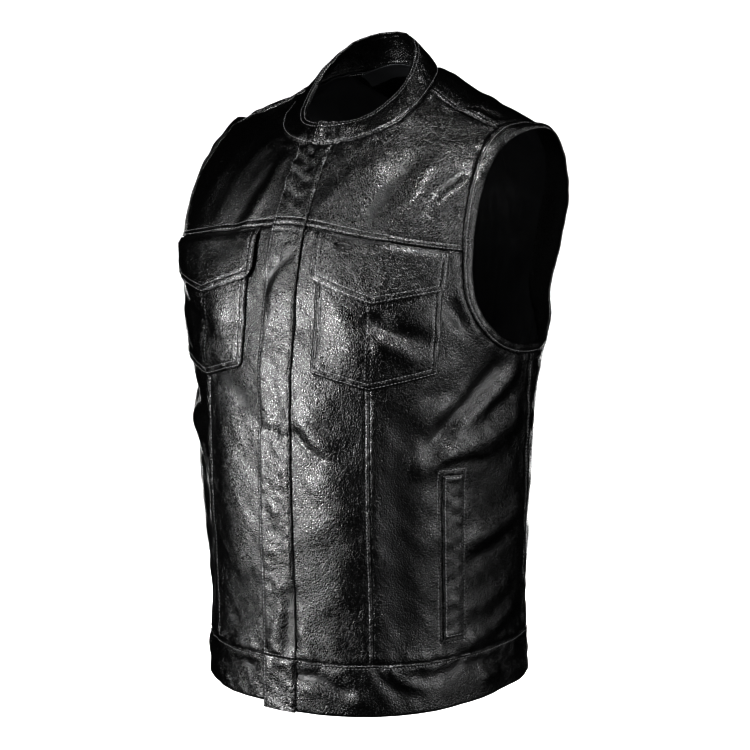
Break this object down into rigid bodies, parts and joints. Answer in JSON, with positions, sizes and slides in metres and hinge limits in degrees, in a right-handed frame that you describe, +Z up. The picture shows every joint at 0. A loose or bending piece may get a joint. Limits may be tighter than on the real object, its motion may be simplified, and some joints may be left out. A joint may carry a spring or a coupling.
{
  "type": "leather vest",
  "caption": "Sleeveless leather vest with a stand collar, a covered front opening, flapped chest pockets, upright side pockets and a hem band, worn over the upper body.",
  "frame": {"origin": "the middle of the body at the height of the shoulder seams' neck ends, where the wearer's shoulders carry the vest", "axes": "+Z up along the wearer's body, the front faces -Y, +X is the wearer's left"},
  "size_m": [0.3718, 0.3351, 0.6684],
  "materials": {
    "leather": "pebble-grained, semi-gloss black",
    "leather_trim": "pebble-grained, semi-gloss black, edge-stitched",
    "slot_rim": "smooth cord edge",
    "lining": "black satin"
  },
  "bodies": {
    "root": {"front_centre_left": "leather", "front_centre_right": "leather", "front_side_left": "leather", "front_side_right": "leather", "front_yoke_left": "leather", "front_yoke_right": "leather", "back": "leather", "hem_band_front_left": "leather", "hem_band_front_right": "leather", "hem_band_back": "leather", "placket_hem": "leather_trim", "placket_body": "leather_trim", "placket_yoke": "leather_trim", "chest_pocket_left": "leather_trim", "chest_pocket_right": "leather_trim", "chest_flap_left": "leather_trim", "chest_flap_right": "leather_trim", "welt_pocket_left": "leather_trim", "welt_pocket_right": "leather_trim", "armhole_band_left": "leather_trim", "armhole_band_right": "leather_trim", "collar": "leather_trim", "back_neck_facing": "leather_trim", "flap_slot_rim": "slot_rim", "back_lining": "lining", "neck_patch": "lining"}
  },
  "joints": []
}
